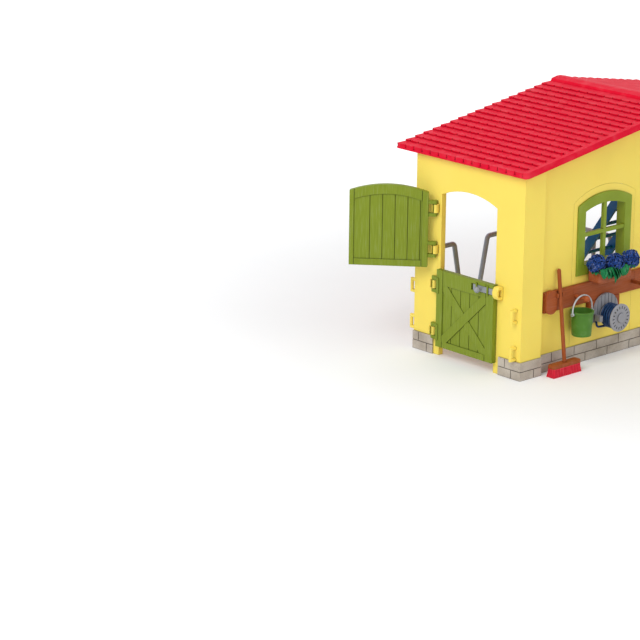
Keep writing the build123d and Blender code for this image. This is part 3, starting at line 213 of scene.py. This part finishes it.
def grained(name, colour, deep, along=(0.06, 1, 1)):
    """Painted plastic with wood grain that runs along one axis."""
    graph = Graph(name)
    place = graph.coordinates(along)
    lines = graph.noise(place, scale=0.9, detail=6.0, rough=0.62)
    bands = graph.noise(place, scale=0.22, detail=3.0)
    both = graph.weighted(lines, weight=0.65, added=graph.weighted(bands, weight=0.35))
    pale = mixed(colour, WHITE, 0.03)
    tone = graph.ramp(both, ((0.34, deep), (0.50, colour), (0.66, pale)))
    # Painted shade: the grain tone is darkened in grooves and inner corners
    graph.painted_groove_shade(tone, reach=0.0012, deep=0.6)
    graph.roughness(lines, low=0.47, high=0.65)
    graph.bump(lines, strength=0.5, distance=0.00018, edge=0.0004)
    graph.set("Specular IOR Level", 0.25)
    return graph.material


def stone(name, colour, deep, pale):
    """Cast stone look: patches of slightly different tone with a speckled skin."""
    graph = Graph(name)
    place = graph.coordinates()
    speck = graph.noise(place, scale=0.9, detail=6.0, rough=0.7)
    patches = graph.noise(place, scale=0.07, detail=2.0)
    tone = graph.ramp(patches, ((0.30, deep), (0.50, colour), (0.72, pale)))
    dots = graph.ramp(speck, ((0.34, (0.55, 0.53, 0.50, 1)), (0.48, WHITE)))
    # Painted shade: the stone tone is darkened in joints and inner corners
    graph.painted_groove_shade(graph.multiplied(tone, dots, factor=0.45), reach=0.001, deep=0.30)
    graph.roughness(speck, low=0.62, high=0.85)
    graph.bump(speck, strength=0.6, distance=0.00018, edge=0.0004)
    graph.set("Specular IOR Level", 0.15)
    return graph.material


# Materials of the barn, by slot

UPRIGHT = (1, 1, 0.07)
UPRIGHT_FINE = (1, 1, 0.06)

# The crease value sets how dark the painted shade in grooves and inner corners gets; reach sets how far it
# spreads
MATERIALS = {
    "wall_yellow": moulded("wall yellow", linear(250, 224, 100), shade=0.04, rough=0.50, grain=0.30,
                           patch=0.02, edge=0.0004, soft=0.05),
    "plinth_stone": stone("plinth stone", colour=linear(186, 175, 162), deep=linear(168, 157, 143),
                          pale=linear(202, 192, 180)),
    "roof_red": moulded("roof red", linear(228, 16, 50), shade=0.08, rough=0.46, grain=0.35,
                        patch=0.10, edge=0.0005, shine=0.06, crease_shade=0.5),
    "door_green": moulded("door green", linear(126, 142, 34), shade=0.10, rough=0.50, grain=0.6,
                          patch=1.10, stretch=UPRIGHT, crease_shade=0.35),
    "window_green": moulded("window green", linear(134, 153, 38), shade=0.08, rough=0.48, grain=0.4,
                            patch=0.06),
    "wood_brown": grained("rail wood", linear(162, 80, 36), deep=linear(146, 70, 32)),
    "bolt_grey": moulded("bolt grey", linear(150, 154, 158), shade=0.12, rough=0.35, grain=0.4,
                         patch=0.2),
    "reel_grey": moulded("reel grey", linear(150, 150, 156), shade=0.08, rough=0.42, grain=0.4,
                         patch=0.15, crease_shade=0.4),
    "hose_blue": moulded("hose blue", linear(6, 52, 96), shade=0.15, rough=0.36, grain=0.4,
                         patch=0.3),
    "flower_blue": moulded("flower blue", linear(12, 64, 142), shade=0.35, rough=0.55, grain=0.8,
                           patch=0.45, crease_shade=0.12, reach=0.0024),
    "leaf_green": moulded("leaf green", linear(8, 122, 68), shade=0.25, rough=0.5, grain=0.6,
                          patch=0.25, crease_shade=0.3, reach=0.002),
    "planter_brown": grained("flower box", linear(164, 86, 50), deep=linear(150, 76, 44)),
    "bucket_green": moulded("bucket green", linear(78, 126, 44), shade=0.12, rough=0.40, grain=0.4,
                            patch=0.12),
    "bail_silver": moulded("bail silver", linear(186, 190, 194), shade=0.10, rough=0.35, grain=0.3,
                           patch=0.3),
    "handle_brown": grained("broom handle", linear(152, 74, 26), deep=linear(136, 64, 22),
                            along=UPRIGHT_FINE),
    "bristle_red": moulded("bristles", linear(240, 40, 66), shade=0.20, rough=0.6, grain=0.8,
                           patch=0.7, edge=0.0001, stretch=UPRIGHT_FINE, crease_shade=0.8),
    "fence_dark": moulded("fence grey", linear(158, 168, 184), shade=0.10, rough=0.38, grain=0.3,
                          patch=0.12),
    "divider_grey": moulded("divider grey", linear(170, 180, 196), shade=0.10, rough=0.38, grain=0.3,
                            patch=0.12),
    "ladder_blue": moulded("ladder blue", linear(12, 100, 172), shade=0.10, rough=0.42, grain=0.3,
                           patch=0.12),
}
for part in frame["record"]["subparts"]:
    mesh = nodes[part["node"]].data
    mesh.materials.clear()
    mesh.materials.append(MATERIALS[part["material_slot"]])


# Flower heads

# Swell of each head along x, y and z, as shares of its solid's half width
HEAD_FORMS = {
    1: (1.26, 0.98, 1.14),
    2: (1.50, 1.02, 1.40),
    3: (1.34, 0.98, 1.20),
}
HEAD_DROP = 1.035
CORE_SHARE = 0.76
FLORETS_PER_FORM = 60
FLORET_SPREAD = 1.86
FLORET_REACH = (0.74, 0.94)
FLORET_SIZE = (0.14, 0.18)
FLORET_TURN = 1.6
GOLDEN_ANGLE = math.pi * (3 - math.sqrt(5))
ANGLE_JITTER = 0.1
PETAL_OUT = 0.85
PETAL_LIFT = 0.18
PETAL_TILT = -0.25
PETAL_WIDTH = 0.8
PETAL_THICK = 0.42
HEART_LIFT = 0.2
HEART_SIZE = 0.35


def petal_ball(rings=4, around=7):
    """Corners and faces of a small round ball, for petals."""
    corners = [(0, 0, 1)]
    for ring in range(1, rings):
        tilt = math.pi * ring / rings
        for step in range(around):
            turn = 2 * math.pi * step / around
            corners.append((math.sin(tilt) * math.cos(turn), math.sin(tilt) * math.sin(turn), math.cos(tilt)))
    corners.append((0, 0, -1))
    faces = []
    last = 1 + (rings - 2) * around
    for step in range(around):
        after = (step + 1) % around
        faces.append((0, 1 + step, 1 + after))
        for ring in range(rings - 2):
            low = 1 + ring * around
            faces.append((low + step, low + around + step, low + around + after, low + after))
        faces.append((last + step, len(corners) - 1, last + after))
    return corners, faces


BALL, BALL_FACES = petal_ball()


def add_ball(corners, faces, at, turn, scale):
    """Stretched and turned ball, added to the lists of corners and faces."""
    start = len(corners)
    for point in BALL:
        corners.append(at + turn @ Vector(tuple(p * s for p, s in zip(point, scale))))
    faces.extend(tuple(start + corner for corner in face) for face in BALL_FACES)


def add_floret(corners, faces, at, way, turn, size):
    """Four petals round a small heart."""
    for quarter in range(4):
        spin = turn @ Matrix.Rotation(quarter * math.pi / 2, 3, "Z")
        off = spin @ Vector((size * PETAL_OUT, 0, size * PETAL_LIFT))
        tilted = spin @ Matrix.Rotation(PETAL_TILT, 3, "Y")
        add_ball(corners, faces, at + off, tilted, (size, size * PETAL_WIDTH, size * PETAL_THICK))
    add_ball(corners, faces, at + way * size * HEART_LIFT, turn, (size * HEART_SIZE,) * 3)


def mesh_piece(name, corners, faces, body, slot):
    """Smooth object from plain corners and faces that rides on a body."""
    mesh = bpy.data.meshes.new(name)
    mesh.from_pydata(corners, [], faces)
    mesh.validate()
    mesh.update()
    mesh.polygons.foreach_set("use_smooth", [True] * len(mesh.polygons))
    mesh.materials.append(MATERIALS[slot])
    made = bpy.data.objects.new(name, mesh)
    bpy.context.scene.collection.objects.link(made)
    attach(made, body)
    return made


def blossom(node, seed, form):
    """Head of many four-petalled florets in place of a plain ball."""
    low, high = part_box(node)
    half = (high.x - low.x) / 2
    centre = Vector(((low.x + high.x) / 2, (low.y + high.y) / 2, high.z - half * form.z * HEAD_DROP))
    dice = random.Random(seed)
    corners, faces = [], []
    add_ball(corners, faces, centre, Matrix.Identity(3), tuple(half * CORE_SHARE * f for f in form))
    florets = round(FLORETS_PER_FORM * form.x * form.z)
    for k in range(florets):
        up = 1 - FLORET_SPREAD * (k + 0.5) / florets
        ring = math.sqrt(1 - up * up)
        angle = k * GOLDEN_ANGLE + dice.uniform(-ANGLE_JITTER, ANGLE_JITTER)
        way = Vector((ring * math.cos(angle), ring * math.sin(angle), up))
        reach = half * dice.uniform(*FLORET_REACH)
        at = centre + Vector(tuple(w * f * reach for w, f in zip(way, form)))
        turned = Matrix.Rotation(dice.uniform(0, FLORET_TURN), 3, "Z")
        turn = way.to_track_quat("Z", "Y").to_matrix() @ turned
        add_floret(corners, faces, at, way, turn, size=half * dice.uniform(*FLORET_SIZE))
    made = mesh_piece("petals_" + node, corners, faces, "planter", "flower_blue")
    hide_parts(node)


for number, form in HEAD_FORMS.items():
    blossom(f"flower_head_{number}", number, Vector(form))


# Leaves, in millimetres

LEAF_ROWS = 8
LEAF_COLUMNS = 4
LEAF_THICK = 0.35
LEAF_TIP = 0.12
LEAF_FOLD = 0.45
LEAF_SEED = 11
LEAVES_PER_HEAD = 7
FAN_FROM = -170
FAN_SWEEP = 160
FAN_JITTER = 6
ROOT_LIFT = (0.2, 1.0)
LEAF_RISE = (0, 12)
LEAF_LENGTH = (8.0, 10.0)
LEAF_WIDTH = (5.0, 6.4)
LEAF_DROOP = (70, 100)
ROOT_TO_HEAD = 0.85
HANGING_RISE = -46
HANGING_DROOP = 52
HANGING_LIFT = 1.4
# Place along the box, distance in front of it, heading in degrees, length and width
HANGING_LEAVES = (
    (-8.4, 0.6, -72, 13.5, 6.6),
    (-5.4, 1.4, -60, 11.0, 6.0),
    (7.2, 0.8, -112, 9.5, 5.6),
    (-12.4, 0.8, -96, 9.0, 6.0),
    (-16.0, 0.6, -120, 8.5, 5.6),
    (-18.2, 0.4, -96, 7.0, 5.0),
    (-10.2, 1.0, -84, 9.0, 5.8),
    (-1.8, 0.9, -70, 10.0, 5.8),
    (3.2, 0.9, -98, 9.5, 5.6),
)
SOIL_INSET = 1.3
SOIL_BELOW_RIM = 0.3


def leaf_rows(root, heading, rise, length, width, droop):
    """Rows of points with their normals over a leaf that bends down from its root."""
    flat = Vector((math.cos(heading), math.sin(heading), 0))
    side = Vector((-math.sin(heading), math.cos(heading), 0))
    upward = Vector((0, 0, 1))
    spot = Vector(root)
    angle = rise
    rows = []
    for i in range(LEAF_ROWS + 1):
        t = i / LEAF_ROWS
        way = flat * math.cos(angle) + upward * math.sin(angle)
        face = upward * math.cos(angle) - flat * math.sin(angle)
        swell = math.sin(math.pi * min(1, t ** 0.75)) ** 0.8 if 0 < t < 1 else 0
        wide = width / 2 * swell + LEAF_TIP
        row = []
        for k in range(LEAF_COLUMNS + 1):
            across = 2 * k / LEAF_COLUMNS - 1
            row.append((spot + side * wide * across + face * wide * LEAF_FOLD * abs(across), face))
        rows.append(row)
        spot = spot + way * (length / LEAF_ROWS)
        angle -= droop / LEAF_ROWS
    return rows


def add_leaf(corners, faces, *shape):
    """Curved leaf with a fold along its middle and a little thickness."""
    start = len(corners)
    rows = leaf_rows(*shape)
    for row in rows:
        corners.extend(point for point, normal in row)
    for row in rows:
        corners.extend(point - normal * LEAF_THICK for point, normal in row)
    wide = LEAF_COLUMNS + 1
    lower = (LEAF_ROWS + 1) * wide
    for i in range(LEAF_ROWS):
        for k in range(LEAF_COLUMNS):
            near = start + i * wide + k
            far = near + wide
            faces.append((near, near + 1, far + 1, far))
            faces.append((far + lower, far + 1 + lower, near + 1 + lower, near + lower))
    rim = [start + k for k in range(wide)]
    rim += [start + i * wide + LEAF_COLUMNS for i in range(1, LEAF_ROWS + 1)]
    rim += [start + LEAF_ROWS * wide + k for k in range(LEAF_COLUMNS - 1, -1, -1)]
    rim += [start + i * wide for i in range(LEAF_ROWS - 1, 0, -1)]
    for here, after in zip(rim, rim[1:] + rim[:1]):
        faces.append((after, here, here + lower, after + lower))


def add_soil(corners, faces, low, high):
    """Block that fills the flower box under the leaves."""
    start = len(corners)
    left, right = low.x + SOIL_INSET, high.x - SOIL_INSET
    front, back = low.y + SOIL_INSET, high.y - SOIL_INSET
    for z in (low.z + SOIL_INSET, high.z - SOIL_BELOW_RIM):
        for x, y in ((left, front), (right, front), (right, back), (left, back)):
            corners.append(Vector((x, y, z)))
    sides = ((0, 1, 5, 4), (1, 2, 6, 5), (2, 3, 7, 6), (3, 0, 4, 7))
    for face in ((3, 2, 1, 0), (4, 5, 6, 7), *sides):
        faces.append(tuple(start + corner for corner in face))


def foliage():
    """Leaves under the three heads and over the front of the box."""
    box_low, box_high = (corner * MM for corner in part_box("flower_box"))
    middle = (box_low + box_high) / 2
    dice = random.Random(LEAF_SEED)
    corners, faces = [], []
    for number in HEAD_FORMS:
        low, high = (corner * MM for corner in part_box(f"flower_head_{number}"))
        x, y = (low.x + high.x) / 2, (low.y + high.y) / 2
        for k in range(LEAVES_PER_HEAD):
            fan = FAN_FROM + FAN_SWEEP * k / (LEAVES_PER_HEAD - 1)
            heading = math.radians(fan + dice.uniform(-FAN_JITTER, FAN_JITTER))
            root = (x * ROOT_TO_HEAD + middle.x * (1 - ROOT_TO_HEAD), (y + middle.y) / 2,
                    box_high.z + dice.uniform(*ROOT_LIFT))
            rise = math.radians(dice.uniform(*LEAF_RISE))
            length = dice.uniform(*LEAF_LENGTH)
            width = dice.uniform(*LEAF_WIDTH)
            droop = math.radians(dice.uniform(*LEAF_DROOP))
            add_leaf(corners, faces, root, heading, rise, length, width, droop)
    for off, out, heading, length, width in HANGING_LEAVES:
        root = (middle.x + off, box_low.y - out, box_high.z + HANGING_LIFT)
        add_leaf(corners, faces, root, math.radians(heading), math.radians(HANGING_RISE), length, width,
                 math.radians(HANGING_DROOP))
    add_soil(corners, faces, box_low, box_high)
    made = mesh_piece("foliage", [corner / MM for corner in corners], faces, "planter", "leaf_green")
    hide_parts("flower_leaves")


foliage()


# Floor and background

FLOOR_SPAN = 24
GLOW_CENTRE = (0.16, 0.06, 0)
GLOW_FROM, GLOW_TO = 0.18, 0.75
GLOW_NEAR, GLOW_FAR = 0.06, 0.44
WORLD_STRENGTH = 0.62


def shown_rays(tree):
    """1 for the rays that show the background itself: camera, glossy and transmission rays."""
    path = tree.nodes.new("ShaderNodeLightPath")
    shown = path.outputs["Is Camera Ray"]
    for kind in ("Is Glossy Ray", "Is Transmission Ray"):
        either = tree.nodes.new("ShaderNodeMath")
        either.operation = "MAXIMUM"
        tree.links.new(shown, either.inputs[0])
        tree.links.new(path.outputs[kind], either.inputs[1])
        shown = either.outputs["Value"]
    return shown


def floor_material():
    """Pale floor that fades into the white background away from the object."""
    graph = Graph("floor")
    spread = graph.noise(graph.coordinates((0.01, 0.01, 0.01)), scale=0.5)
    tone = graph.ramp(spread, ((0.3, (0.90, 0.90, 0.90, 1)), (0.7, (0.92, 0.92, 0.92, 1))))
    graph.link(tone, graph.shader.inputs["Base Color"])
    graph.set("Roughness", 0.9)
    graph.set("Specular IOR Level", 0.1)
    place = graph.node("ShaderNodeTexCoord")
    away = graph.node("ShaderNodeVectorMath", operation="DISTANCE")
    away.inputs[1].default_value = GLOW_CENTRE
    graph.link(place.outputs["Object"], away.inputs[0])
    fade = graph.node("ShaderNodeMapRange", interpolation_type="SMOOTHSTEP")
    limits = (("From Min", GLOW_FROM), ("From Max", GLOW_TO), ("To Min", GLOW_NEAR), ("To Max", GLOW_FAR))
    for name, value in limits:
        fade.inputs[name].default_value = value
    graph.link(away.outputs["Value"], fade.inputs["Value"])
    glow = graph.node("ShaderNodeMath", operation="MULTIPLY")
    graph.link(shown_rays(graph.tree), glow.inputs[0])
    graph.link(fade.outputs["Result"], glow.inputs[1])
    graph.set("Emission Color", (0.97, 0.985, 1.0, 1))
    graph.link(glow.outputs["Value"], graph.shader.inputs["Emission Strength"])
    return graph.material


def studio_world():
    """Soft even light from all sides, seen as plain white."""
    world = bpy.data.worlds.new("studio")
    bpy.context.scene.world = world
    world.use_nodes = True
    tree = world.node_tree
    lit = tree.nodes["Background"]
    lit.inputs["Color"].default_value = (0.96, 0.98, 1.0, 1)
    lit.inputs["Strength"].default_value = WORLD_STRENGTH
    seen = tree.nodes.new("ShaderNodeBackground")
    seen.inputs["Color"].default_value = WHITE
    blend = tree.nodes.new("ShaderNodeMixShader")
    tree.links.new(shown_rays(tree), blend.inputs["Fac"])
    tree.links.new(lit.outputs["Background"], blend.inputs[1])
    tree.links.new(seen.outputs["Background"], blend.inputs[2])
    tree.links.new(blend.outputs["Shader"], tree.nodes["World Output"].inputs["Surface"])


bpy.ops.mesh.primitive_plane_add(size=FLOOR_SPAN, location=(0, 0, cad_low[2]))
floor = bpy.context.object
floor.name = "floor"
floor.data.materials.append(floor_material())
studio_world()


# Lamps


def lamp(name, place, aim, size, power):
    """Square area light that faces a point."""
    data = bpy.data.lights.new(name, "AREA")
    data.size = size
    data.energy = power
    light = bpy.data.objects.new(name, data)
    light.location = place
    way = Vector(aim) - Vector(place)
    light.rotation_euler = way.to_track_quat("-Z", "Y").to_euler()
    bpy.context.scene.collection.objects.link(light)


lamp("key", place=(-1.5, -0.35, 1.35), aim=(0.08, 0.05, 0.08), size=1.0, power=18)
lamp("fill", place=(0.5, -1.7, 1.2), aim=(0.1, 0.0, 0.08), size=1.4, power=6)
lamp("back", place=(0.3, 1.4, 1.5), aim=(0.1, 0.1, 0.05), size=1.2, power=6)


# Camera, at the photograph's viewing angle

SENSOR_MM = 36
FRAME_PIXELS = 640
FOCAL_PIXELS = 2681
CAMERA_PLACE = (-1.3950, -1.3042, 0.6144)
CAMERA_TURN = 42.44
CAMERA_DROP = 16.62
CAMERA_ROLL = 0.553


def camera_pose():
    """Matrix of a camera that looks ahead and down, with a slight roll."""
    turn, drop, roll = (math.radians(angle) for angle in (CAMERA_TURN, CAMERA_DROP, CAMERA_ROLL))
    ahead = Vector((math.sin(turn) * math.cos(drop), math.cos(turn) * math.cos(drop), -math.sin(drop)))
    right = Vector((math.cos(turn), -math.sin(turn), 0))
    up = right.cross(ahead)
    right_rolled = right * math.cos(roll) + up * math.sin(roll)
    up_rolled = up * math.cos(roll) - right * math.sin(roll)
    pose = Matrix.Identity(4)
    for row in range(3):
        pose[row][0] = right_rolled[row]
        pose[row][1] = up_rolled[row]
        pose[row][2] = -ahead[row]
    pose.translation = Vector(CAMERA_PLACE)
    return pose


camera_data = bpy.data.cameras.new("camera")
camera_data.sensor_width = SENSOR_MM
camera_data.lens = FOCAL_PIXELS / FRAME_PIXELS * SENSOR_MM
camera_data.clip_start = 0.1
camera_data.clip_end = 60
camera = bpy.data.objects.new("camera", camera_data)
bpy.context.scene.collection.objects.link(camera)
camera.matrix_world = camera_pose()
bpy.context.scene.camera = camera
bpy.context.scene.view_settings.view_transform = "Standard"
